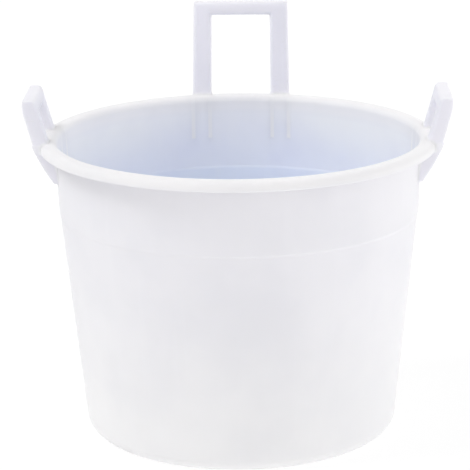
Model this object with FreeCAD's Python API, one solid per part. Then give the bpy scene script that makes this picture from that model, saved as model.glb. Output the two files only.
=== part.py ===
import FreeCAD, Part
import math
import os

# A moulded fermenting tub with a rolled rim and three fixed handles.
# Millimetres, +Z up. The origin is on the tub's axis, on the surface it stands on.
# The back handle is towards +Y, and the side handles are towards +X and -X.
# Each moulded member is one solid in one file, and neighbours meet face to face.

# ---- driving dimensions: tub ----
HEIGHT = 425.0               # standing surface to the crown of the rim
BASE_RADIUS = 221.0          # outside of the wall, carried down to the standing surface
WALL = 3.5                   # moulded wall thickness
WALL_SLOPE = 0.101           # outward lean of the lower wall, mm per mm of height
STEP_DROP = 108.0            # from the crown of the rim down to the step in the wall
STEP_HEIGHT = 3.0            # height over which the wall steps out
STEP_OUT = 1.2               # how far the wall steps out
COLLAR_SLOPE = 0.042         # outward lean of the collar above the step
CORNER_RADIUS = 20.0         # outside radius between wall and floor
CORNER_SPLIT = -48.0         # where that corner divides in two, degrees from level
FOOT_WIDTH = 13.0            # flat ring that the tub stands on
FLOOR_RISE = 3.0             # how far the floor panel stands clear of the surface
FLOOR_RAMP = 5.0             # radial length of the ramp from foot to floor panel

# ---- driving dimensions: rolled rim ----
LIP_HEIGHT = 14.3            # crown to the lower edge of the skirt
LIP_INNER_RADIUS = 10.5      # roll from the collar up to the crown
LIP_LAND = 5.0               # flat width of the crown
LIP_OUTER_RADIUS = 9.3       # roll from the crown down to the skirt

# ---- driving dimensions: handles ----
LEAN = 15.2                  # outward lean of every handle, degrees
LEG_DEPTH = 21.0             # radial depth of a leg, measured level
LEG_PROUD = 2.0              # how far a leg stands out from the skirt at its lower edge
CAP_HEIGHT = 14.5            # upright band at the top of a handle's outer face
GRIP_HEIGHT = 20.0           # grip bar, top to underside
GRIP_BEAD = 6.5              # finger bead along the grip bar's lower edge
BEAD_SETBACK = 3.0           # how far the bead stays back from the handle's outer face
WEB = 4.0                    # thickness of webs, ribs and the inner plate
OUTER_DRAFT = 0.018          # widening of the handle downwards, per side
INNER_DRAFT = 0.006          # widening of the finger gap downwards, per side
RIB_BULGE = 1.2              # how far a rib's outer edge bows out from a straight line
RIB_ROOT = 7.0               # how far a rib's blank reaches into the wall before trimming

BACK_HANDLE = {"rise": 135.5, "width": 143.0, "gap": 88.5, "rib_drop": 65.7}
SIDE_HANDLE = {"rise": 60.0, "width": 111.7, "gap": 57.0, "rib_drop": 57.8}
# each handle: its turn round the tub, its sizes, and what its two legs are called
HANDLES = {
    "right": (0.0, SIDE_HANDLE, {"front": -1, "rear": 1}),
    "back": (90.0, BACK_HANDLE, {"right": -1, "left": 1}),
    "left": (180.0, SIDE_HANDLE, {"rear": -1, "front": 1}),
}

# ---- worked-out sizes ----
LEVEL_WALL = WALL * math.hypot(1.0, WALL_SLOPE)
STEP_TOP = HEIGHT - STEP_DROP
STEP_BOTTOM = STEP_TOP - STEP_HEIGHT
SKIRT_BOTTOM = HEIGHT - LIP_HEIGHT
LEAN_SLOPE = math.tan(math.radians(LEAN))


def lower_wall_radius(z):
    """Outside radius of the wall below the step."""
    return BASE_RADIUS + WALL_SLOPE * z


COLLAR_BOTTOM_RADIUS = lower_wall_radius(STEP_BOTTOM) + STEP_OUT


def collar_radius(z):
    """Outside radius of the collar above the step."""
    return COLLAR_BOTTOM_RADIUS + COLLAR_SLOPE * (z - STEP_TOP)


LIP_START = HEIGHT - LIP_INNER_RADIUS
LIP_BORE = collar_radius(LIP_START) - LEVEL_WALL
CROWN_INNER = LIP_BORE + LIP_INNER_RADIUS
CROWN_OUTER = CROWN_INNER + LIP_LAND
SKIRT_RADIUS = CROWN_OUTER + LIP_OUTER_RADIUS
KNEE_RADIUS = SKIRT_RADIUS + LEG_PROUD


# ---- small helpers ----
def point(r, z):
    """A point of a radial section."""
    return FreeCAD.Vector(r, 0, z)


def line(a, b):
    return Part.LineSegment(a, b).toShape()


def arc(centre, radius, start, middle, end):
    """Arc in the radial section, through three angles in degrees from +X."""
    ends = [
        centre + FreeCAD.Vector(math.cos(a), 0, math.sin(a)) * radius
        for a in (math.radians(start), math.radians(middle), math.radians(end))
    ]
    return Part.Arc(*ends).toShape()


def closed_face(edges):
    return Part.Face(Part.Wire(Part.__sortEdges__(edges)))


def polygon_face(points):
    return Part.Face(Part.makePolygon(points + points[:1]))


def spin(face):
    """Solid of revolution about the tub's axis."""
    return face.revolve(FreeCAD.Vector(0, 0, 0), FreeCAD.Vector(0, 0, 1), 360)


def slab(outline, low, high):
    """Radial section pushed out level from one tangential place to another."""
    face = polygon_face(outline) if isinstance(outline, list) else outline
    face = face.copy()
    face.translate(FreeCAD.Vector(0, low, 0))
    return face.extrude(FreeCAD.Vector(0, high - low, 0))


def front_prism(corners):
    """Outline in tangential and vertical places, pushed through radially."""
    far = 2.0 * KNEE_RADIUS
    face = polygon_face([FreeCAD.Vector(0, t, z) for t, z in corners])
    return face.extrude(FreeCAD.Vector(far, 0, 0))


def save(shape, name, azimuth=0.0):
    """Turn a member to its place round the tub and write it."""
    if len(shape.Solids) != 1:
        raise ValueError(f"{name} has {len(shape.Solids)} solids")
    solid = shape.Solids[0].copy()
    solid.rotate(FreeCAD.Vector(0, 0, 0), FreeCAD.Vector(0, 0, 1), azimuth)
    solid.exportStep(f"parts/{name}.step")
    print(f"{name:28s} {solid.Volume / 1000.0:9.2f} cm3")


# ---- tub: floor, foot, corner, walls ----
CORNER_CENTRE = point(
    lower_wall_radius(CORNER_RADIUS) - CORNER_RADIUS * math.hypot(1.0, WALL_SLOPE),
    CORNER_RADIUS,
)
WALL_LEAN = math.degrees(math.atan(WALL_SLOPE))
CORNER_TOP = CORNER_RADIUS * (1.0 - math.sin(math.radians(WALL_LEAN)))
FOOT_OUTER = CORNER_CENTRE.x
FOOT_INNER = FOOT_OUTER - FOOT_WIDTH
PANEL_RADIUS = FOOT_INNER - FLOOR_RAMP


def floor_panel():
    """Flat disc that stands clear of the surface below it."""
    return Part.makeCylinder(PANEL_RADIUS, WALL, FreeCAD.Vector(0, 0, FLOOR_RISE))


def foot_ring():
    """Flat standing ring and the ramp up to the floor panel."""
    return spin(polygon_face([
        point(FOOT_OUTER, 0),
        point(FOOT_OUTER, WALL),
        point(FOOT_INNER, WALL),
        point(PANEL_RADIUS, FLOOR_RISE + WALL),
        point(PANEL_RADIUS, FLOOR_RISE),
        point(FOOT_INNER, 0),
    ]))


def corner_band(low, high):
    """Rounded corner between two directions in degrees from level, one wall thick."""
    middle = (low + high) / 2.0
    outer = arc(CORNER_CENTRE, CORNER_RADIUS, low, middle, high)
    inner = arc(CORNER_CENTRE, CORNER_RADIUS - WALL, low, middle, high)
    joins = [
        line(outer.Vertexes[i].Point, inner.Vertexes[i].Point) for i in (0, 1)
    ]
    return spin(closed_face([outer, inner] + joins))


def base_corner_lower():
    """Flatter half of the rounded corner, rising from the foot."""
    return corner_band(-90, CORNER_SPLIT)


def base_corner_upper():
    """Steeper half of the rounded corner, running into the wall."""
    return corner_band(CORNER_SPLIT, -WALL_LEAN)


def corner_edge(radius):
    """Where the rounded corner meets the wall, at one of its two radii."""
    angle = math.radians(-WALL_LEAN)
    out = FreeCAD.Vector(math.cos(angle), 0, math.sin(angle))
    return CORNER_CENTRE + out * radius


def lower_wall():
    """Leaning wall from the rounded corner up to the step."""
    top = lower_wall_radius(STEP_BOTTOM)
    return spin(polygon_face([
        corner_edge(CORNER_RADIUS),
        point(top, STEP_BOTTOM),
        point(top - LEVEL_WALL, STEP_BOTTOM),
        corner_edge(CORNER_RADIUS - WALL),
    ]))


def wall_step():
    """Short ring where the wall steps out to the collar."""
    low = lower_wall_radius(STEP_BOTTOM)
    return spin(polygon_face([
        point(low, STEP_BOTTOM),
        point(COLLAR_BOTTOM_RADIUS, STEP_TOP),
        point(COLLAR_BOTTOM_RADIUS - LEVEL_WALL, STEP_TOP),
        point(low - LEVEL_WALL, STEP_BOTTOM),
    ]))


def collar():
    """Steeper wall between the step and the rolled rim."""
    top = collar_radius(LIP_START)
    return spin(polygon_face([
        point(COLLAR_BOTTOM_RADIUS, STEP_TOP),
        point(top, LIP_START),
        point(top - LEVEL_WALL, LIP_START),
        point(COLLAR_BOTTOM_RADIUS - LEVEL_WALL, STEP_TOP),
    ]))


# ---- rolled rim ----
INNER_ROLL = point(CROWN_INNER, LIP_START)
OUTER_ROLL = point(CROWN_OUTER, HEIGHT - LIP_OUTER_RADIUS)


def crown_edges(depth):
    """Roll from the collar to the crown and the flat crown, a depth under the upper face."""
    roll = arc(INNER_ROLL, LIP_INNER_RADIUS - depth, 180, 135, 90)
    land = line(point(CROWN_INNER, HEIGHT - depth), point(CROWN_OUTER, HEIGHT - depth))
    return [roll, land]


def skirt_edges(depth):
    """Roll from the crown down to the skirt and the upright skirt, a depth under the face."""
    roll = arc(OUTER_ROLL, LIP_OUTER_RADIUS - depth, 90, 45, 0)
    radius = SKIRT_RADIUS - depth
    skirt = line(point(radius, OUTER_ROLL.z), point(radius, SKIRT_BOTTOM))
    return [roll, skirt]


def rim_crown():
    """Inner half of the rolled rim, from the collar to the outer edge of the crown."""
    collar_end = line(point(LIP_BORE, LIP_START), point(LIP_BORE + LEVEL_WALL, LIP_START))
    outer_end = line(point(CROWN_OUTER, HEIGHT), point(CROWN_OUTER, HEIGHT - LEVEL_WALL))
    return spin(closed_face(
        crown_edges(0.0) + crown_edges(LEVEL_WALL) + [collar_end, outer_end]
    ))


def rim_skirt():
    """Outer half of the rolled rim, from the crown down to its free lower edge."""
    inner_end = line(point(CROWN_OUTER, HEIGHT), point(CROWN_OUTER, HEIGHT - LEVEL_WALL))
    free_edge = line(
        point(SKIRT_RADIUS, SKIRT_BOTTOM), point(SKIRT_RADIUS - LEVEL_WALL, SKIRT_BOTTOM)
    )
    return spin(closed_face(
        skirt_edges(0.0) + skirt_edges(LEVEL_WALL) + [inner_end, free_edge]
    ))


def below_rim(depth, inner_foot):
    """Solid below the rim's upper face, a depth under it, and down to the skirt's edge."""
    edges = crown_edges(depth) + skirt_edges(depth)
    start = point(LIP_BORE + depth, LIP_START)
    end = point(SKIRT_RADIUS - depth, SKIRT_BOTTOM)
    return spin(closed_face(edges + [line(start, inner_foot), line(inner_foot, end)]))


def rim_envelope():
    """The rim with the hollow below it filled, to trim the handle legs."""
    return below_rim(0.0, point(LIP_BORE, SKIRT_BOTTOM))


def under_rim():
    """The hollow between the collar and the rim's skirt."""
    return below_rim(LEVEL_WALL, point(collar_radius(SKIRT_BOTTOM), SKIRT_BOTTOM))


def tub_outside():
    """Everything inside the outer face of step, collar and lower wall."""
    return spin(polygon_face([
        point(0, 0),
        point(lower_wall_radius(0), 0),
        point(lower_wall_radius(STEP_BOTTOM), STEP_BOTTOM),
        point(COLLAR_BOTTOM_RADIUS, STEP_TOP),
        point(collar_radius(LIP_START), LIP_START),
        point(0, LIP_START),
    ]))


# ---- handles, drawn towards +X ----
def outer_face_radius(z, top):
    """Radius of a handle's outer face: leaning, then upright in the cap band."""
    return KNEE_RADIUS + LEAN_SLOPE * (min(z, top - CAP_HEIGHT) - SKIRT_BOTTOM)


def inner_face_radius(z):
    """Radius of a handle's inner face."""
    return KNEE_RADIUS + LEAN_SLOPE * (z - SKIRT_BOTTOM) - LEG_DEPTH


def side_outline(low, high, top, outer_inset=0.0, inner_inset=0.0):
    """Radial section of a handle between two heights."""
    heights = [low, high]
    if low < top - CAP_HEIGHT < high:
        heights.insert(1, top - CAP_HEIGHT)
    outer = [point(outer_face_radius(z, top) - outer_inset, z) for z in heights]
    return outer + [
        point(inner_face_radius(high) + inner_inset, high),
        point(inner_face_radius(low) + inner_inset, low),
    ]


class Outline:
    """Widths of one handle: half its width and half its finger gap at any height."""

    def __init__(self, sizes):
        self.top = HEIGHT + sizes["rise"]
        self.underside = self.top - GRIP_HEIGHT
        self.rib_end = HEIGHT - sizes["rib_drop"]
        self.half_width = sizes["width"] / 2.0
        self.half_gap = sizes["gap"] / 2.0

    def outer(self, z):
        return self.half_width + OUTER_DRAFT * (self.top - z)

    def inner(self, z):
        return self.half_gap + INNER_DRAFT * (self.top - z)


def grip(shape):
    """Grip bar across the top: a channel open outwards, with a finger bead below."""
    low, top = shape.underside, shape.top
    roof = top - WEB
    reach = shape.outer(low)
    bar = slab(side_outline(low, top, top), -reach, reach)
    bar = bar.common(front_prism([
        (-shape.outer(low), low), (shape.outer(low), low),
        (shape.outer(top), top), (-shape.outer(top), top),
    ]))
    pocket = slab(side_outline(low, roof, top, inner_inset=WEB), -reach, reach)
    pocket = pocket.common(front_prism([
        (WEB - shape.outer(low), low), (shape.outer(low) - WEB, low),
        (shape.outer(roof) - WEB, roof), (WEB - shape.outer(roof), roof),
    ]))
    bead_half = shape.inner(low) + WEB
    bead = slab(
        side_outline(low, low + GRIP_BEAD, top, outer_inset=BEAD_SETBACK),
        -bead_half, bead_half,
    )
    return bar.cut(pocket.cut(bead))


def leg(shape, side, envelope):
    """Channel leg, open outwards, trimmed to the rim that it grows from."""
    low, high = SKIRT_BOTTOM, shape.underside
    reach = shape.outer(low)

    def strip(inset):
        return front_prism([
            (side * (shape.inner(low) + inset), low),
            (side * (shape.outer(low) - inset), low),
            (side * (shape.outer(high) - inset), high),
            (side * (shape.inner(high) + inset), high),
        ])

    body = slab(side_outline(low, high, shape.top), -reach, reach)
    body = body.common(strip(0.0))
    pocket = slab(side_outline(low, high, shape.top, inner_inset=WEB), -reach, reach)
    pocket = pocket.common(strip(WEB))
    return body.cut(pocket).cut(envelope)


def rib(shape, place, hollow, tub):
    """Rib below the rim, from the leg's web down to the wall, bowed outwards."""
    low = shape.rib_end
    knee = point(KNEE_RADIUS, SKIRT_BOTTOM)
    foot_radius = collar_radius(low) if low > STEP_TOP else lower_wall_radius(low)
    foot = point(foot_radius, low)
    chord = foot - knee
    bow = FreeCAD.Vector(-chord.z, 0, chord.x).normalize() * RIB_BULGE
    edge = Part.Arc(knee, (knee + foot) * 0.5 + bow, foot).toShape()
    back = point(foot_radius - RIB_ROOT, low)
    back_top = point(foot_radius - RIB_ROOT, SKIRT_BOTTOM)
    blade = closed_face([edge, line(foot, back), line(back, back_top), line(back_top, knee)])
    blade = slab(blade, place - WEB / 2.0, place + WEB / 2.0).cut(tub)
    tongue = hollow.common(slab(
        [
            point(COLLAR_BOTTOM_RADIUS, SKIRT_BOTTOM),
            point(SKIRT_RADIUS, SKIRT_BOTTOM),
            point(SKIRT_RADIUS, HEIGHT),
            point(COLLAR_BOTTOM_RADIUS, HEIGHT),
        ],
        place - WEB / 2.0, place + WEB / 2.0,
    ))
    return blade.fuse(tongue).removeSplitter()


# ---- build every member ----
os.makedirs("parts", exist_ok=True)

TUB_MEMBERS = (
    floor_panel, foot_ring, base_corner_lower, base_corner_upper,
    lower_wall, wall_step, collar, rim_crown, rim_skirt,
)
for maker in TUB_MEMBERS:
    save(maker(), maker.__name__)

ENVELOPE = rim_envelope()
HOLLOW = under_rim()
TUB = tub_outside()

for handle_name, (turn, sizes, legs) in HANDLES.items():
    outline = Outline(sizes)
    save(grip(outline), f"{handle_name}_handle_grip", turn)
    for leg_name, side in legs.items():
        prefix = f"{handle_name}_handle_{leg_name}"
        save(leg(outline, side, ENVELOPE), f"{prefix}_leg", turn)
        inner_place = side * (outline.inner(SKIRT_BOTTOM) + WEB / 2.0)
        outer_place = side * (outline.outer(SKIRT_BOTTOM) - WEB / 2.0)
        save(rib(outline, inner_place, HOLLOW, TUB), f"{prefix}_inner_rib", turn)
        save(rib(outline, outer_place, HOLLOW, TUB), f"{prefix}_outer_rib", turn)

print(f"rim outside diameter {2 * SKIRT_RADIUS:.1f} mm, knee radius {KNEE_RADIUS:.1f} mm")
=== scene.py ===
# %% [markdown]
# # A three-handled fermenting tub in natural polyethylene
#
# The real tub is one injection moulding: a tapered wall with a small step, a rolled rim,
# and three upright handles that grow out of the rim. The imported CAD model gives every
# size and place, and this lesson builds the finished surfaces on top of it.
#
# Shapes that are round about an axis are turned from one outline. The handles are not,
# so they are made from a distance field, which gives them the soft edges and the fillets
# of a moulding without any hand-placed corners.

# %% The frame and the helpers that every later cell uses
import math

import bpy
import numpy as np
from mathutils import Matrix, Vector


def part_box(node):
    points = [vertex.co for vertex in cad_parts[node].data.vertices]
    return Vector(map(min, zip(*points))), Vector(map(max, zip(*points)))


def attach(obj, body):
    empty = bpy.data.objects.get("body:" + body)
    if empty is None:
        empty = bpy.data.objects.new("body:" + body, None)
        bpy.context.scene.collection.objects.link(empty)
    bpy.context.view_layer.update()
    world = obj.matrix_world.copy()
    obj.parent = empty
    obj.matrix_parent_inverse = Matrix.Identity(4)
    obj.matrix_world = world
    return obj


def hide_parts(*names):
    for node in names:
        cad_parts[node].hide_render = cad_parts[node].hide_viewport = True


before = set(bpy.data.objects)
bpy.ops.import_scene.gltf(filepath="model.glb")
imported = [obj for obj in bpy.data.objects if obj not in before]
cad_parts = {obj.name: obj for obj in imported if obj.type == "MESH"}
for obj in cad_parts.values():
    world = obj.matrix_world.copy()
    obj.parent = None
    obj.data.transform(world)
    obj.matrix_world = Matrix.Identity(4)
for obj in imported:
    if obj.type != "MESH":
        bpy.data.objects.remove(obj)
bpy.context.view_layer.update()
MM = 0.001

# %% [markdown]
# ## The tub's sizes
#
# The wall is a cone, so two places on it give its slope. The rounded base corner touches
# the floor where the foot ring ends, and that gives its radius. Everything else is read
# straight from the boxes of the CAD members.

# %% Read the sizes of the turned members
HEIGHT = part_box("rim_crown")[1].z
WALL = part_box("floor_panel")[1].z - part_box("floor_panel")[0].z
FLOOR_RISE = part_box("floor_panel")[0].z
PANEL_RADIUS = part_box("floor_panel")[1].x
FOOT_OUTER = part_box("foot_ring")[1].x
FOOT_INNER = FOOT_OUTER - 13 * MM
STEP_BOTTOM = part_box("wall_step")[0].z
STEP_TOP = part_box("wall_step")[1].z
STEP_LOW_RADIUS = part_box("lower_wall")[1].x
STEP_HIGH_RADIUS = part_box("wall_step")[1].x
corner_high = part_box("base_corner_upper")[1]
WALL_SLOPE = (STEP_LOW_RADIUS - corner_high.x) / (STEP_BOTTOM - corner_high.z)
COLLAR_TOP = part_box("collar")[1]
COLLAR_SLOPE = (COLLAR_TOP.x - STEP_HIGH_RADIUS) / (COLLAR_TOP.z - STEP_TOP)
LEVEL_WALL = WALL * math.hypot(1, WALL_SLOPE)
CORNER_RADIUS = (corner_high.x - FOOT_OUTER) * math.hypot(1, WALL_SLOPE)
BASE_RADIUS = STEP_LOW_RADIUS - WALL_SLOPE * STEP_BOTTOM
SKIRT_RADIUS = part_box("rim_skirt")[1].x
SKIRT_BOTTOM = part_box("rim_skirt")[0].z
CROWN_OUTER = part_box("rim_crown")[1].x
LIP_OUTER_RADIUS = SKIRT_RADIUS - CROWN_OUTER
LIP_INNER_RADIUS = HEIGHT - COLLAR_TOP.z
print(f"rim {2000 * SKIRT_RADIUS:.0f} mm across, {1000 * HEIGHT:.0f} mm high")


def collar_radius(z):
    """Outside radius of the collar at height z."""
    return STEP_HIGH_RADIUS + COLLAR_SLOPE * (z - STEP_TOP)


# %% [markdown]
# ## Camera
#
# A long lens stands about three metres away and looks slightly down, so that the round
# rim reads as a shallow ellipse and the far inside wall shows. The aim is a point on the
# tub's axis, a little above the middle.

# %% Put the camera in place
LENS_MM = 168.5
AIM = Vector((-0.0062, 0.0, 0.2762))
CAMERA_DISTANCE = 3.137
CAMERA_TURN = math.radians(1.2)
CAMERA_TILT = math.radians(15.65)
CAMERA_ROLL = math.radians(0.7)

forward = Vector((
    -math.sin(CAMERA_TURN) * math.cos(CAMERA_TILT),
    math.cos(CAMERA_TURN) * math.cos(CAMERA_TILT),
    -math.sin(CAMERA_TILT),
))
camera = bpy.data.objects.new("camera", bpy.data.cameras.new("camera"))
camera.data.lens = LENS_MM
camera.data.clip_end = 200
level = forward.to_track_quat("-Z", "Y").to_matrix()
roll = Matrix.Rotation(-CAMERA_ROLL, 3, "Z")
camera.matrix_world = Matrix.Translation(AIM - forward * CAMERA_DISTANCE) @ (level @ roll).to_4x4()
bpy.context.collection.objects.link(camera)
bpy.context.scene.camera = camera
print("camera at", [round(v, 3) for v in camera.matrix_world.translation])

# %% [markdown]
# ## Small helpers for node materials
#
# A material is a graph of nodes. These helpers add one node and set its sockets in a
# single line, so each finish below reads as a list of what it is made of.


# %% Node helpers
def new_material(name):
    material = bpy.data.materials.new(name)
    material.use_nodes = True
    tree = material.node_tree
    tree.nodes.clear()
    return material, tree


def node(tree, kind, values=None, **settings):
    """Add a node; settings are its options, values are its sockets or links to them."""
    made = tree.nodes.new(kind)
    for key, value in settings.items():
        setattr(made, key, value)
    for key, value in (values or {}).items():
        if isinstance(value, bpy.types.NodeSocket):
            tree.links.new(value, made.inputs[key])
        else:
            made.inputs[key].default_value = value
    return made


def math_node(tree, operation, a, b=0.0, c=0.0, clamp=False):
    return node(tree, "ShaderNodeMath", {0: a, 1: b, 2: c},
                operation=operation, use_clamp=clamp).outputs[0]


def ramp(tree, value, low, high):
    """0 below low, 1 above high, and a soft step between them."""
    return node(tree, "ShaderNodeMapRange",
                {"Value": value, "From Min": low, "From Max": high},
                interpolation_type="SMOOTHSTEP").outputs["Result"]


def mix_colour(tree, share, first, second, blend="MIX"):
    made = node(tree, "ShaderNodeMix", data_type="RGBA", blend_type=blend)
    for socket, value in ((0, share), (6, first), (7, second)):
        if isinstance(value, bpy.types.NodeSocket):
            tree.links.new(value, made.inputs[socket])
        else:
            made.inputs[socket].default_value = value
    return made.outputs[2]


def tone(red, green, blue):
    """A linear colour from the 0 to 255 values that a colour picker shows."""
    def linear(v):
        v /= 255
        return v / 12.92 if v <= 0.04045 else ((v + 0.055) / 1.055) ** 2.4
    return (linear(red), linear(green), linear(blue), 1.0)


# %% [markdown]
# ## Painted light opposite the ribs
#
# Two ribs stand under each leg, on the outside of the wall. Where they join it the
# plastic is thicker, and from the inside each rib shows as a light upright stripe, where
# light comes through the rib. The stripe could be left to the scattering, but the ribs
# are separate skins here, so they would only cast a shadow. So the stripe is painted
# light instead: a mask says where the stripes are, and the finish paints them near white.
# The mask reads the ribs' places from the CAD boxes, so it follows them when they move.


# %% Painted light opposite the ribs
# Widths of the painted light stripes opposite the ribs.
RIB_LIGHT_CORE = 1.6 * MM
RIB_LIGHT_EDGE = 4.0 * MM
FAR_FROM_AXIS = 0.2


def rib_places(handle, leg):
    """Tangential places and the lower end of the two ribs under one leg."""
    tangent = 0 if handle == "back_handle" else 1
    boxes = [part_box(f"{handle}_{leg}_{which}_rib") for which in ("inner", "outer")]
    return [abs(b[0][tangent] + b[1][tangent]) / 2 for b in boxes], boxes[0][0].z


def rib_light_stripes(tree, x, y, z):
    """Painted light: 1 on the wall opposite a rib, falling to 0 a few millimetres beside it."""
    total = None
    for handle, leg, radial, tangential in (
        ("back_handle", "left", y, x),
        ("right_handle", "front", math_node(tree, "ABSOLUTE", x), y),
    ):
        places, lower_end = rib_places(handle, leg)
        aside = math_node(tree, "ABSOLUTE", tangential)
        there = math_node(tree, "GREATER_THAN", radial, FAR_FROM_AXIS)
        there = math_node(tree, "MULTIPLY", there,
                          ramp(tree, z, lower_end, lower_end + 4 * MM))
        for place in places:
            off = math_node(tree, "ABSOLUTE", math_node(tree, "SUBTRACT", aside, place))
            stripe = ramp(tree, off, RIB_LIGHT_CORE, RIB_LIGHT_EDGE)
            stripe = math_node(tree, "SUBTRACT", 1.0, stripe)
            stripe = math_node(tree, "MULTIPLY", stripe, there)
            total = stripe if total is None else math_node(tree, "MAXIMUM", total, stripe)
    return total


print("ribs at", [round(1000 * p, 1) for p in rib_places("back_handle", "left")[0]], "mm")

# %% [markdown]
# ## The tone of each place
#
# The plastic has no pigment, and most of its changes of tone from place to place are
# painted light and shade. The outside is almost neutral, painted a little lighter low
# down, as light from the floor. Light that reaches the inside has gone through the wall or
# bounced off it many times, so the inside is painted as bluer shade, most of all below the
# step, and a band of painted light lies under the lip, where the rim lets light in. A
# point attribute called "inside" on the mesh chooses between the two. The handles use the
# same attribute for their thick webs, which are painted a little lighter than the thin
# plate, as light caught in the thicker plastic.


# %% The tone of each place, with its painted light and shade
def place_tone(tree, z, inner, tones):
    """The base tone by height, outside where inner is 0 and inside where it is 1, with painted
    shade and light.
    """
    # Outside: painted a little lighter low down, as light from the floor.
    above_base = ramp(tree, z, 20 * MM, STEP_TOP)
    outer = mix_colour(tree, above_base, tones["low"], tones["high"])
    on_rim = ramp(tree, z, SKIRT_BOTTOM, SKIRT_BOTTOM + 5 * MM)
    outer = mix_colour(tree, on_rim, outer, tones["rim"])
    # Inside: painted shade, bluer below the step and lighter towards the rim.
    above_step = ramp(tree, z, STEP_BOTTOM - 2 * MM, STEP_TOP + 2 * MM)
    within = mix_colour(tree, above_step, tones["inside_low"], tones["inside_mid"])
    near_rim = ramp(tree, z, STEP_TOP, HEIGHT)
    within = mix_colour(tree, near_rim, within, tones["inside_high"])
    # A painted band of light under the lip, where the rim lets light in.
    under_lip = ramp(tree, z, HEIGHT - 26 * MM, HEIGHT - 12 * MM)
    within = mix_colour(tree, under_lip, within, tones["inside_top"])
    return mix_colour(tree, inner, outer, within)


# %% [markdown]
# ## Patterns in the moulding
#
# Noise makes all the fine detail. Some of it is the same in every direction, such as
# clouds and grain. Streaks and scratches follow the wall, so for them the wall is
# unrolled: one direction is the turn about the axis, and the other is the height.
# Stretching one more than the other draws the noise out into lines.


# %% Noise, as it is and along the unrolled wall
def noise(tree, place, scale, detail, roughness):
    return node(tree, "ShaderNodeTexNoise", {
        "Vector": place, "Scale": scale, "Detail": detail, "Roughness": roughness,
    }).outputs["Fac"]


def unrolled(tree, turn, z, around, upwards):
    """The wall laid flat, stretched by one factor around it and another up it."""
    return node(tree, "ShaderNodeCombineXYZ", {
        0: math_node(tree, "MULTIPLY", turn, around),
        1: math_node(tree, "MULTIPLY", z, upwards),
        2: 0.0,
    }).outputs[0]


def wear(tree, turn, z):
    """Scuffs on the foot and on the crown of the rim, which touch things most."""
    scratches = noise(tree, unrolled(tree, turn, z, 30.0, 260.0), 1.0, 4.0, 0.7)
    foot = math_node(tree, "SUBTRACT", 1.0, ramp(tree, z, 4 * MM, 50 * MM))
    rim = ramp(tree, z, HEIGHT - 6 * MM, HEIGHT)
    worn = math_node(tree, "MAXIMUM", foot, rim)
    return math_node(tree, "MULTIPLY", ramp(tree, scratches, 0.55, 0.7), worn)


def relief_of(tree, place, scuffs):
    """A surface normal with the mould's grain, a softer peel and the scuffs in it."""
    grain = noise(tree, place, 900.0, 2.0, 0.5)
    peel = noise(tree, place, 90.0, 2.0, 0.5)
    relief = math_node(tree, "MULTIPLY_ADD", peel, 0.6,
                       math_node(tree, "MULTIPLY", grain, 0.25))
    relief = math_node(tree, "MULTIPLY_ADD", scuffs, 0.4, relief)
    return node(tree, "ShaderNodeBump",
                {"Height": relief, "Strength": 0.35, "Distance": 0.25 * MM}
                ).outputs["Normal"]


# %% [markdown]
# ## Natural polyethylene
#
# Unpigmented polyethylene lets light in, scatters it and lets it out again a few
# millimetres away. Subsurface scattering in the Principled shader does that, under a weak
# gloss. The colour is built in layers, each mixed over the one before: the tone of the
# place with its painted light and shade, the painted light stripes opposite the ribs,
# cloudy patches where the melt cooled at different rates, faint streaks along the flow up
# the wall, and the scuffs. The roughness follows the clouds, and is higher where the
# plastic is scuffed.
#
# The scattering is switched off at the painted rib light. The ribs' own skins behind the
# wall keep light from coming through there, and the stripes would turn dark.

# %% The moulded plastic finish
CLOUD_TONE, CLOUD_SHARE = (0.66, 0.67, 0.72, 1), 0.16
STREAK_TONE, STREAK_SHARE = (0.95, 0.95, 0.97, 1), 0.06
SCUFF_TONE, SCUFF_SHARE = (0.80, 0.80, 0.80, 1), 0.35
SCUFF_ROUGHNESS = 0.25


def polyethylene(name, tones, gloss_low, gloss_high, ribs=False):
    """Translucent moulded plastic, with painted light stripes opposite the ribs on its inside if
    ribs is true.
    """
    material, tree = new_material(name)
    place = node(tree, "ShaderNodeNewGeometry").outputs["Position"]
    x, y, z = node(tree, "ShaderNodeSeparateXYZ", {0: place}).outputs
    turn = math_node(tree, "ARCTAN2", y, x)
    clouds = noise(tree, place, 7.0, 3.0, 0.55)
    streaks = noise(tree, unrolled(tree, turn, z, 9.0, 2.2), 1.6, 5.0, 0.6)
    scuffs = wear(tree, turn, z)

    inner = node(tree, "ShaderNodeAttribute", attribute_name="inside").outputs["Fac"]
    colour = place_tone(tree, z, inner, tones)
    scatter = 1.0
    # Painted light stripes opposite the ribs, shaded without scattering.
    if ribs:
        rib_light = math_node(tree, "MULTIPLY", rib_light_stripes(tree, x, y, z), inner)
        colour = mix_colour(tree, rib_light, colour, tones["ribs"])
        scatter = math_node(tree, "SUBTRACT", 1.0, rib_light)
    for mask, share, layer in (
        (ramp(tree, clouds, 0.35, 0.68), CLOUD_SHARE, CLOUD_TONE),
        (ramp(tree, streaks, 0.52, 0.72), STREAK_SHARE, STREAK_TONE),
        (scuffs, SCUFF_SHARE, SCUFF_TONE),
    ):
        colour = mix_colour(tree, math_node(tree, "MULTIPLY", mask, share), colour, layer)

    gloss = node(tree, "ShaderNodeMapRange",
                 {"Value": clouds, "From Min": 0.3, "From Max": 0.7,
                  "To Min": gloss_low, "To Max": gloss_high}).outputs["Result"]
    gloss = math_node(tree, "MULTIPLY_ADD", scuffs, SCUFF_ROUGHNESS, gloss, clamp=True)
    shader = node(tree, "ShaderNodeBsdfPrincipled", {
        "Base Color": colour,
        "Roughness": gloss,
        "Normal": relief_of(tree, place, scuffs),
        "IOR": 1.51,
        "Specular IOR Level": 0.12,
        "Subsurface Weight": scatter,
        "Subsurface Radius": (1.0, 1.0, 1.0),
        "Subsurface Scale": 3.5 * MM,
        "Subsurface Anisotropy": 0.2,
    })
    node(tree, "ShaderNodeOutputMaterial", {"Surface": shader.outputs["BSDF"]})
    print(name, len(tree.nodes), "nodes")
    return material
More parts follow.
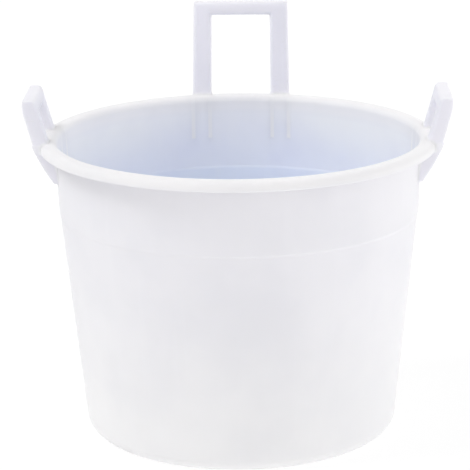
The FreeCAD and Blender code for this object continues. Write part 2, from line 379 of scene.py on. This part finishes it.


# %% [markdown]
# ## Tones of the tub and of the handles
#
# The handles stand in the open, lit from both sides, so they need no painted inside
# shade. Only the thin plate before the channel differs from the edges over the webs: it
# is painted a trace darker and more violet, as shade in the thin plastic.

# %% Make the two finishes
# Painted light and shade: low is floor light, the inside tones shade, inside_top and ribs light.
TUB_TONES = {
    "low": tone(241, 240, 240), "high": tone(237, 236, 239), "rim": tone(240, 239, 240),
    "inside_low": tone(233, 238, 253), "inside_mid": tone(237, 240, 254),
    "inside_high": tone(248, 249, 251), "inside_top": tone(254, 254, 254),
    "ribs": tone(254, 254, 254),
}
# Web tone painted lighter, plate tone a trace darker and more violet: painted light and shade.
WEB_TONE, PLATE_TONE = tone(247, 247, 249), tone(240, 239, 245)
HANDLE_TONES = dict.fromkeys(TUB_TONES, WEB_TONE)
HANDLE_TONES.update(dict.fromkeys(("low", "high", "rim"), PLATE_TONE))
TUB_FINISH = polyethylene("natural_polyethylene_tub", TUB_TONES, 0.42, 0.58, ribs=True)
HANDLE_FINISH = polyethylene("natural_polyethylene_handles", HANDLE_TONES, 0.42, 0.56)

# %% [markdown]
# ## Turning the tub
#
# A turned shape needs only half a section. The outline below lists the corners that a
# draughtsperson would give, each with its fillet radius, and a helper rounds them.
# Turning it gives one closed skin with an outside, an inside and a real wall between
# them, which the light scattering needs.


# %% Outline helper: corners with fillets
def rounded(corners, per_turn=64):
    """Points along a polyline whose inner corners are arcs. Each corner is (r, z, radius)."""
    points = [Vector(corners[0][:2])]
    for before, here, after in zip(corners, corners[1:], corners[2:]):
        a, b, c = Vector(before[:2]), Vector(here[:2]), Vector(after[:2])
        back, on = (a - b).normalized(), (c - b).normalized()
        half = back.angle(on) / 2
        if here[2] <= 0 or half > math.radians(89.9):
            points.append(b)
            continue
        centre = b + (back + on).normalized() * (here[2] / math.sin(half))
        start = b + back * (here[2] / math.tan(half)) - centre
        end = b + on * (here[2] / math.tan(half)) - centre
        sweep = start.angle_signed(end)
        count = max(3, round(per_turn * abs(sweep) / (2 * math.pi)))
        for i in range(count + 1):
            points.append(centre + Matrix.Rotation(-sweep * i / count, 2) @ start)
    points.append(Vector(corners[-1][:2]))
    return points


def split_long(points, longest):
    """The same polyline with no stretch longer than a limit."""
    out = [points[0]]
    for a, b in zip(points, points[1:]):
        count = max(1, math.ceil((b - a).length / longest))
        out += [a.lerp(b, i / count) for i in range(1, count + 1)]
    return out


# %% [markdown]
# ### The tub's outline
#
# The outside runs from the middle of the floor out to the foot ring, up the wall, round
# the rim and back up to its crown. The inside runs from there down to the floor. The two
# stay the same distance apart, because a moulding keeps its wall even. The step's outside
# fillets are about as large as the step allows, so that it reads as one soft line.

# %% The tub's outline
CROWN_JOIN = 2.5 * MM
LONGEST_STRETCH = 24 * MM
outer_corner = (BASE_RADIUS, 0.0, CORNER_RADIUS)
inner_line = BASE_RADIUS - LEVEL_WALL
inner_corner = (inner_line + WALL_SLOPE * WALL, WALL, CORNER_RADIUS - WALL)
EDGE = 1.2 * MM
RAMP = 4 * MM
step_steepness = math.atan2(STEP_HIGH_RADIUS - STEP_LOW_RADIUS, STEP_TOP - STEP_BOTTOM)
step_length = math.hypot(STEP_HIGH_RADIUS - STEP_LOW_RADIUS, STEP_TOP - STEP_BOTTOM)
STEP_FILLET = 0.45 * step_length / math.tan(step_steepness / 2)
print(f"step {1000 * step_length:.1f} mm long, fillets {1000 * STEP_FILLET:.1f} mm")

outside_corners = [
    (0.0, FLOOR_RISE, 0),
    (PANEL_RADIUS, FLOOR_RISE, RAMP),
    (FOOT_INNER, 0.0, RAMP),
    outer_corner,
    (STEP_LOW_RADIUS, STEP_BOTTOM, STEP_FILLET),
    (STEP_HIGH_RADIUS, STEP_TOP, STEP_FILLET),
    (collar_radius(HEIGHT - LEVEL_WALL), HEIGHT - LEVEL_WALL, LIP_INNER_RADIUS - LEVEL_WALL),
    (SKIRT_RADIUS - LEVEL_WALL, HEIGHT - LEVEL_WALL, LIP_OUTER_RADIUS - LEVEL_WALL),
    (SKIRT_RADIUS - LEVEL_WALL, SKIRT_BOTTOM, EDGE),
    (SKIRT_RADIUS, SKIRT_BOTTOM, EDGE),
    (SKIRT_RADIUS, HEIGHT, LIP_OUTER_RADIUS),
    (CROWN_OUTER - CROWN_JOIN, HEIGHT, 0),
]
inside_corners = [
    (CROWN_OUTER - CROWN_JOIN, HEIGHT, 0),
    (collar_radius(HEIGHT) - LEVEL_WALL, HEIGHT, LIP_INNER_RADIUS),
    (STEP_HIGH_RADIUS - LEVEL_WALL, STEP_TOP, 2 * MM),
    (STEP_LOW_RADIUS - LEVEL_WALL, STEP_BOTTOM, 2 * MM),
    inner_corner,
    (FOOT_INNER, WALL, RAMP),
    (PANEL_RADIUS, FLOOR_RISE + WALL, RAMP),
    (0.0, FLOOR_RISE + WALL, 0),
]
outside = split_long(rounded(outside_corners), LONGEST_STRETCH)
inside = split_long(rounded(inside_corners), LONGEST_STRETCH)
print("outline points", len(outside), "outside and", len(inside), "inside")


# %% [markdown]
# ### Turning it
#
# Blender's Screw modifier could turn the outline, but here the mesh is made directly, so
# that each point can also say how far inside the tub it is. The value rises from 0 at the
# crown of the rim to 1 a short way down the inside, and the finish paints the inside's
# shade and light from it.

# %% Turn an outline about the tub's axis
SECTORS = 240


def turned(name, outline, in_share, material):
    """Mesh of revolution. The outline starts and ends on the axis."""
    rings = outline[1:-1]
    verts = [(0, 0, outline[0].y), (0, 0, outline[-1].y)]
    shade = [in_share[0], in_share[-1]]
    for i, p in enumerate(rings):
        for k in range(SECTORS):
            a = 2 * math.pi * k / SECTORS
            verts.append((p.x * math.cos(a), p.x * math.sin(a), p.y))
        shade += [in_share[i + 1]] * SECTORS
    faces = []
    last = 2 + (len(rings) - 1) * SECTORS
    for k in range(SECTORS):
        n = (k + 1) % SECTORS
        faces.append((0, 2 + n, 2 + k))
        faces.append((1, last + k, last + n))
        for i in range(len(rings) - 1):
            a, b = 2 + i * SECTORS, 2 + (i + 1) * SECTORS
            faces.append((a + k, a + n, b + n, b + k))
    mesh = bpy.data.meshes.new(name)
    mesh.from_pydata(verts, [], faces)
    layer = mesh.attributes.new("inside", "FLOAT", "POINT")
    layer.data.foreach_set("value", np.array(shade, np.float32))
    mesh.shade_smooth()
    mesh.materials.append(material)
    made = bpy.data.objects.new(name, mesh)
    bpy.context.collection.objects.link(made)
    return made


outline = outside + inside[1:]
# The share of the inside's painted shade and light, 0 all over the outside.
in_share = [0.0] * len(outside)
for p in inside[1:]:
    depth = (HEIGHT - p.y) / (2 * LIP_INNER_RADIUS)
    in_share.append(min(1.0, max(0.0, depth)))
tub = turned("tub_body", outline, in_share, TUB_FINISH)
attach(tub, "root")
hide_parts("floor_panel", "foot_ring", "base_corner_lower", "base_corner_upper",
            "lower_wall", "wall_step", "collar", "rim_crown", "rim_skirt")
print("tub body", len(tub.data.polygons), "faces")

# %% [markdown]
# ## Handles from a distance field
#
# A moulded handle has no sharp edge: every corner is rounded, and it flows into the rim
# through a fillet. Modelling that with bevels gets untidy where the leaning legs cross
# the round rim. A distance field says how far any point is from the surface, so shapes
# combine with a smooth minimum or maximum, and the rounding comes for free. The field is
# sampled on a fine grid, and a net of quads is drawn through its zero level.


# %% Smooth combinations of distances
def smooth_max(a, b, k):
    """The larger of two distances, with the crease between them rounded over k."""
    h = np.clip(0.5 + 0.5 * (a - b) / k, 0, 1)
    return b + (a - b) * h + k * h * (1 - h)


def smooth_min(a, b, k):
    return -smooth_max(-a, -b, k)


def all_of(k, *parts):
    """Inside every one of the parts."""
    out = parts[0]
    for part in parts[1:]:
        out = smooth_max(out, part, k)
    return out


# %% [markdown]
# ### From a field to a mesh
#
# The field is known at the corners of a grid of small cubes. A cube with corners on both
# sides of the surface gets one vertex, at the mean of the places where its edges cross
# it. Each grid edge that crosses the surface gets one quad between its four cubes. That
# gives even quads and a closed skin, as long as the shape ends inside the grid.


# %% A net of quads on the zero level of a sampled field
def net(field, low, step):
    """Vertices and quads of the surface where a sampled distance field is zero."""
    solid = field < 0
    count = sum(
        solid[i:i - 1 or None, j:j - 1 or None, k:k - 1 or None].astype(np.int8)
        for i in (0, 1) for j in (0, 1) for k in (0, 1)
    )
    cells = np.argwhere((count > 0) & (count < 8))
    number = np.full(count.shape, -1)
    number[tuple(cells.T)] = np.arange(len(cells))
    total, hits = np.zeros((len(cells), 3)), np.zeros((len(cells), 1))
    faces = []
    for axis in range(3):
        along = np.eye(3, dtype=int)[axis]
        u, v = [np.eye(3, dtype=int)[a] for a in range(3) if a != axis]
        for corner in (0 * u, u, v, u + v):
            a = field[tuple((cells + corner).T)]
            b = field[tuple((cells + corner + along).T)]
            crossed = (a < 0) != (b < 0)
            share = np.where(crossed, a / np.where(crossed, a - b, 1), 0)
            spot = cells + corner + share[:, None] * along
            total += np.where(crossed[:, None], spot, 0)
            hits += crossed[:, None]
        near = np.argwhere(solid != np.roll(solid, -1, axis))
        inner = (near > 0).all(1) & (near < np.array(field.shape) - 1).all(1)
        near = near[inner]
        ring = [number[tuple((near - o).T)] for o in (u + v, v, 0 * u, u)]
        quads = np.stack(ring, 1)
        starts_solid = solid[tuple(near.T)]
        flip = starts_solid if axis != 1 else ~starts_solid
        faces.append(np.where(flip[:, None], quads, quads[:, ::-1]))
    return low + (total / hits) * step, np.concatenate(faces)


# %% [markdown]
# ### Where the tub is
#
# The handles have to end in the tub's wall and rim, so their field needs the distance to
# the tub. The tub is round, so that distance depends only on radius and height. It is
# worked out once as a table from the outline, and looked up for every grid point.

# %% Distance to the tub's plastic, as a table over radius and height
TABLE_STEP = 0.4 * MM
table_r = np.arange(0.235, 0.300, TABLE_STEP)
table_z = np.arange(STEP_TOP, HEIGHT + 0.012, TABLE_STEP)


def distance_to_outline(points, ring):
    """Signed distance from 2-D points to a closed polygon, negative inside."""
    best = np.full(len(points), 1e9)
    within = np.zeros(len(points), bool)
    for a, b in zip(ring, np.roll(ring, -1, 0)):
        edge, rel = b - a, points - a
        t = np.clip((rel @ edge) / max(edge @ edge, 1e-18), 0, 1)
        best = np.minimum(best, np.hypot(*(rel - t[:, None] * edge).T))
        crosses = (a[1] > points[:, 1]) != (b[1] > points[:, 1])
        rise = (b[1] - a[1]) or 1e-18
        within ^= crosses & (points[:, 0] < a[0] + (points[:, 1] - a[1]) * edge[0] / rise)
    return np.where(within, -best, best)


grid_r, grid_z = np.meshgrid(table_r, table_z, indexing="ij")
table_places = np.stack([grid_r.ravel(), grid_z.ravel()], 1)
cavity = [p[:] for p in inside] + [(0.0, HEIGHT)]
tub_table = distance_to_outline(table_places, np.array([p[:] for p in outline]))
cavity_table = distance_to_outline(table_places, np.array(cavity))


def look_up(table, r, z):
    """A table's value at any radius and height, blended from its four nearest entries."""
    table = table.reshape(grid_r.shape)
    i = np.clip((r - table_r[0]) / TABLE_STEP, 0, len(table_r) - 1.001)
    j = np.clip((z - table_z[0]) / TABLE_STEP, 0, len(table_z) - 1.001)
    i0, j0 = i.astype(int), j.astype(int)
    fi, fj = i - i0, j - j0
    return ((1 - fi) * (1 - fj) * table[i0, j0] + fi * (1 - fj) * table[i0 + 1, j0]
            + (1 - fi) * fj * table[i0, j0 + 1] + fi * fj * table[i0 + 1, j0 + 1])


# %% [markdown]
# ### What one handle is made of
#
# Two channel legs lean outwards from the rim and carry a grip bar. Each leg is a thin
# plate on the tub's side with a web along both edges, open outwards, so that nothing on
# it is thick enough to sink as it cools. Under the rim, each web carries on down as a rib
# to the wall. A bead along the grip's lower edge is what the fingers feel, and the
# plate's own edges are well rounded.

# %% The handle's field
LEAN = math.tan(math.radians(15.2))
LEG_DEPTH = 21.0 * MM
KNEE_RADIUS = SKIRT_RADIUS + 2.0 * MM
CAP_HEIGHT = 14.5 * MM
WEB = 4.0 * MM
BEAD_HEIGHT = 6.5 * MM
BEAD_SETBACK = 3.0 * MM
OUTER_DRAFT = 0.018
INNER_DRAFT = 0.006
RIB_BULGE = 1.2 * MM
ROUND = 2.0 * MM
SOFT_EDGE = 6.0 * MM
FILLET = 5.0 * MM
SUNK = 0.15 * MM
SKIN = 1.2 * MM
GRID = 1.2 * MM
THICK_FADE = 1.6 * MM
ACROSS_LEAN = 1 / math.hypot(1, LEAN)


def edges(t, z, size):
    """How far outside the handle's width, and outside its finger gap, a point lies."""
    outer = size["half_width"] + OUTER_DRAFT * (size["top"] - z)
    inner = size["half_gap"] + INNER_DRAFT * (size["top"] - z)
    return abs(t) - outer, abs(t) - inner


def in_front(r, z):
    """Distance before the plate's face, on the tub's side of the handle."""
    return (KNEE_RADIUS + LEAN * (z - SKIRT_BOTTOM) - LEG_DEPTH - r) * ACROSS_LEAN


def channel_field(r, t, z, size):
    """Distance to the hollow that the webs frame."""
    past_outer, past_inner = edges(t, z, size)
    framed_gap = all_of(ROUND, past_inner - WEB, z - size["underside"] - BEAD_HEIGHT)
    return all_of(ROUND, in_front(r, z) + WEB, past_outer + WEB, z - size["top"] + WEB,
                  -framed_gap)


def handle_field(r, t, z, size):
    """Distance to one handle. r is radial, t tangential and z up; size is a dict."""
    past_outer, past_inner = edges(t, z, size)
    lean = KNEE_RADIUS + LEAN * (z - SKIRT_BOTTOM)
    upright = KNEE_RADIUS + LEAN * (size["top"] - CAP_HEIGHT - SKIRT_BOTTOM)

    face = smooth_max((r - lean) * ACROSS_LEAN, r - upright, ROUND)
    gap = all_of(ROUND, past_inner, z - size["underside"])
    rest = all_of(ROUND, face, past_outer, z - size["top"], -gap, SKIRT_BOTTOM - z)
    block = smooth_max(in_front(r, z), rest, SOFT_EDGE)
    bead = all_of(ROUND, past_inner, z - size["underside"] - BEAD_HEIGHT,
                  -face - BEAD_SETBACK)
    return all_of(ROUND, block, -channel_field(r, t, z, size), -bead)


def rib_field(r, t, z, size):
    """Distance to the four ribs below the rim."""
    foot_radius = collar_radius(size["rib_end"])
    knee = np.array([KNEE_RADIUS, SKIRT_BOTTOM])
    foot = np.array([foot_radius, size["rib_end"]])
    chord = foot - knee
    length = np.hypot(*chord)
    bend = (length ** 2 / 4 + RIB_BULGE ** 2) / (2 * RIB_BULGE)
    outward = np.array([-chord[1], chord[0]]) / length
    centre = (knee + foot) / 2 - outward * (bend - RIB_BULGE)
    edge = np.hypot(r - centre[0], z - centre[1]) - bend
    side = abs(t)
    ribs = 1e9
    for place in size["rib_places"]:
        blade = abs(side - place) - WEB / 2
        ribs = np.minimum(ribs, all_of(ROUND / 2, blade, edge, z - HEIGHT + WALL,
                                       size["rib_end"] - z))
    return ribs


# %% [markdown]
# ### Building the handles
#
# Every handle is built along the X axis and then turned to its side. The handle and its
# ribs flow into the tub through a fillet, and stop just under the surface of the wall, so
# that nothing stands through into the inside. All sizes come from the handle's own CAD
# members, so the tall one and the low ones need no code of their own.

# %% Build the three handles
FIELD_INNER_RADIUS = 0.240
GRID_MARGIN = 4 * MM
SIDE_MARGIN = 8 * MM


def handle_sizes(name, leg_names):
    """Read one handle's sizes from its CAD members. Radial is X or Y, by the handle."""
    radial, tangent = (1, 0) if name == "back_handle" else (0, 1)
    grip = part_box(f"{name}_grip")
    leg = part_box(f"{name}_{leg_names[0]}_leg")
    places, lower_end = rib_places(name, leg_names[0])
    top, underside = grip[1].z, grip[0].z
    return {
        "top": top,
        "underside": underside,
        "half_width": grip[1][tangent] - OUTER_DRAFT * (top - underside),
        "half_gap": min(abs(leg[0][tangent]), abs(leg[1][tangent]))
                    - INNER_DRAFT * (top - underside),
        "rib_end": lower_end,
        "rib_places": places,
        "reach": max(abs(grip[0][radial]), abs(grip[1][radial])),
    }


def build_handle(name, leg_names, turn_degrees):
    size = handle_sizes(name, leg_names)
    side = size["half_width"] + SIDE_MARGIN
    low = np.array([FIELD_INNER_RADIUS, -side, size["rib_end"] - GRID_MARGIN])
    high = np.array([size["reach"] + GRID_MARGIN, side, size["top"] + GRID_MARGIN])
    axes = [np.arange(a, b + GRID, GRID) for a, b in zip(low, high)]
    r, t, z = np.meshgrid(*axes, indexing="ij", sparse=True)
    z_full = np.broadcast_to(z, (len(axes[0]), len(axes[1]), len(axes[2])))
    around = np.broadcast_to(np.hypot(r, t), z_full.shape)
    past_cavity = SKIN - look_up(cavity_table, around, z_full)
    handle = handle_field(r, t, z, size)
    ribs = np.maximum(rib_field(r, t, z, size), past_cavity)
    grown = smooth_min(handle, ribs, ROUND)
    sunk = look_up(tub_table, around, z_full) + SUNK + 0.5 * np.maximum(grown - MM, 0)
    joined = smooth_min(grown, sunk, FILLET)
    field = np.maximum(joined, grown - FILLET / 2)
    field = np.maximum(field, np.minimum(past_cavity, handle - FILLET))
    verts, quads = net(field, low, GRID)
    mesh = bpy.data.meshes.new(name)
    mesh.from_pydata(verts.tolist(), [], quads.tolist())
    mesh.transform(Matrix.Rotation(math.radians(turn_degrees), 4, "Z"))
    # Thick webs get the lighter tone and the thin plate the violet one: painted light and shade.
    thick = (channel_field(*verts.T, size) - WEB) / THICK_FADE
    layer = mesh.attributes.new("inside", "FLOAT", "POINT")
    layer.data.foreach_set("value", np.clip(thick, 0, 1).astype(np.float32))
    mesh.shade_smooth()
    mesh.materials.append(HANDLE_FINISH)
    made = bpy.data.objects.new(name, mesh)
    bpy.context.collection.objects.link(made)
    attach(made, "root")
    nodes = [f"{name}_grip"]
    for leg_name in leg_names:
        nodes += [f"{name}_{leg_name}_{part}" for part in ("leg", "inner_rib", "outer_rib")]
    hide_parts(*nodes)
    print(name, len(quads), "faces")
    return made


handles = [
    build_handle("right_handle", ("front", "rear"), 0),
    build_handle("back_handle", ("right", "left"), 90),
    build_handle("left_handle", ("rear", "front"), 180),
]

# %% [markdown]
# ## Studio floor
#
# The tub stands on a pale floor that glows a little, like white acrylic over a light
# table. A plain white floor bright enough to look white would bounce so much light on to
# the lower wall that it would lose its shape, so most of the floor's white is its own
# light and its base colour is kept dark. The glow also hides the shadows.

# %% The floor
FLOOR_REACH = 60.0
FLOOR_TONES = (0.24, 0.24, 0.24, 1), (0.28, 0.28, 0.28, 1)
FLOOR_GLOW = 0.78

floor_mesh = bpy.data.meshes.new("floor")
floor_mesh.from_pydata(
    [(FLOOR_REACH * i, FLOOR_REACH * j, 0) for i, j in ((-1, -1), (1, -1), (1, 1), (-1, 1))],
    [], [(0, 1, 2, 3)])
floor_material, floor_tree = new_material("pale_floor")
mottle = node(floor_tree, "ShaderNodeTexNoise", {"Scale": 3.0, "Detail": 2.0}).outputs["Fac"]
floor_shader = node(floor_tree, "ShaderNodeBsdfPrincipled", {
    "Base Color": mix_colour(floor_tree, mottle, *FLOOR_TONES),
    "Roughness": 0.9,
    "Specular IOR Level": 0.1,
    "Emission Color": (1, 1, 1, 1),
    "Emission Strength": FLOOR_GLOW,
})
node(floor_tree, "ShaderNodeOutputMaterial", {"Surface": floor_shader.outputs[0]})
floor_mesh.materials.append(floor_material)
floor = bpy.data.objects.new("floor", floor_mesh)
bpy.context.collection.objects.link(floor)
print("floor", 2 * FLOOR_REACH, "m across")

# %% [markdown]
# ## Sky
#
# The sky does most of the lighting, and its strength changes with direction. It is a
# little brighter to the right and weaker overhead. Low on the left it is dark, like a
# black flag beside the tub, which lets the wall darken towards its left edge and shows
# that it is round. High on the left it is bright again, like a bank of light over that
# flag. The camera itself sees a plain white sky, as it would with the flag out of view.

# %% The sky
SKY_LEVEL = 1.02
SKY_TO_THE_RIGHT = 0.12
SKY_FALL_OVERHEAD = 0.44
FLAG_ON_THE_LEFT = 0.9
BANK_ON_THE_LEFT = 0.3

world = bpy.data.worlds.new("soft_sky")
world.use_nodes = True
sky = world.node_tree
way = node(sky, "ShaderNodeTexCoord").outputs["Generated"]
way_x, _, way_z = node(sky, "ShaderNodeSeparateXYZ", {0: way}).outputs
overhead = math_node(sky, "MAXIMUM", way_z, 0.0)
to_the_left = math_node(sky, "MAXIMUM", math_node(sky, "MULTIPLY", way_x, -1.0), 0.0)
low_down = math_node(sky, "SUBTRACT", 1.0, ramp(sky, way_z, 0.1, 0.5))
flagged = math_node(sky, "MULTIPLY", to_the_left, low_down)
high_up = math_node(sky, "MULTIPLY", to_the_left, ramp(sky, way_z, 0.35, 0.6))
strength = SKY_LEVEL
for where, change in (
    (way_x, SKY_TO_THE_RIGHT),
    (overhead, -SKY_FALL_OVERHEAD),
    (flagged, -FLAG_ON_THE_LEFT),
    (high_up, BANK_ON_THE_LEFT),
):
    strength = math_node(sky, "MULTIPLY_ADD", where, change, strength)
seen = node(sky, "ShaderNodeLightPath").outputs["Is Camera Ray"]
to_white = math_node(sky, "SUBTRACT", 1.0, strength)
strength = math_node(sky, "MULTIPLY_ADD", seen, to_white, strength)
sky.links.new(strength, sky.nodes["Background"].inputs["Strength"])
sky.nodes["Background"].inputs["Color"].default_value = (1, 1, 1, 1)
bpy.context.scene.world = world
print("sky", len(sky.nodes), "nodes")

# %% [markdown]
# ## Lights
#
# A wide, soft sun stands high on the left, and a weak disk of light fills in from the
# right. The Standard view transform leaves white as white, which suits a pale object on
# a white ground.

# %% The key and the fill
SUN_STRENGTH = 1.05
SUN_WIDTH = math.radians(25)
SUN_DIRECTION = Vector((1.9, 0.3, -2.4))
FILL_PLACE = Vector((3.2, 0.6, 1.2))
FILL_SIZE = 2.0
FILL_POWER = 9


def add_light(name, kind, direction, power):
    """A light that shines along a direction."""
    light = bpy.data.objects.new(name, bpy.data.lights.new(name, kind))
    light.data.energy = power
    light.rotation_euler = direction.to_track_quat("-Z", "Y").to_euler()
    bpy.context.collection.objects.link(light)
    return light


key = add_light("key", "SUN", SUN_DIRECTION, SUN_STRENGTH)
key.data.angle = SUN_WIDTH
fill = add_light("fill", "AREA", AIM - FILL_PLACE, FILL_POWER)
fill.data.shape = "DISK"
fill.data.size = FILL_SIZE
fill.location = FILL_PLACE
bpy.context.scene.view_settings.view_transform = "Standard"

# %% [markdown]
# ## Last step
#
# The view layer is brought up to date. The finished skins have to fit the CAD model's
# own box.

# %% Bring the view layer up to date
bpy.context.view_layer.update()
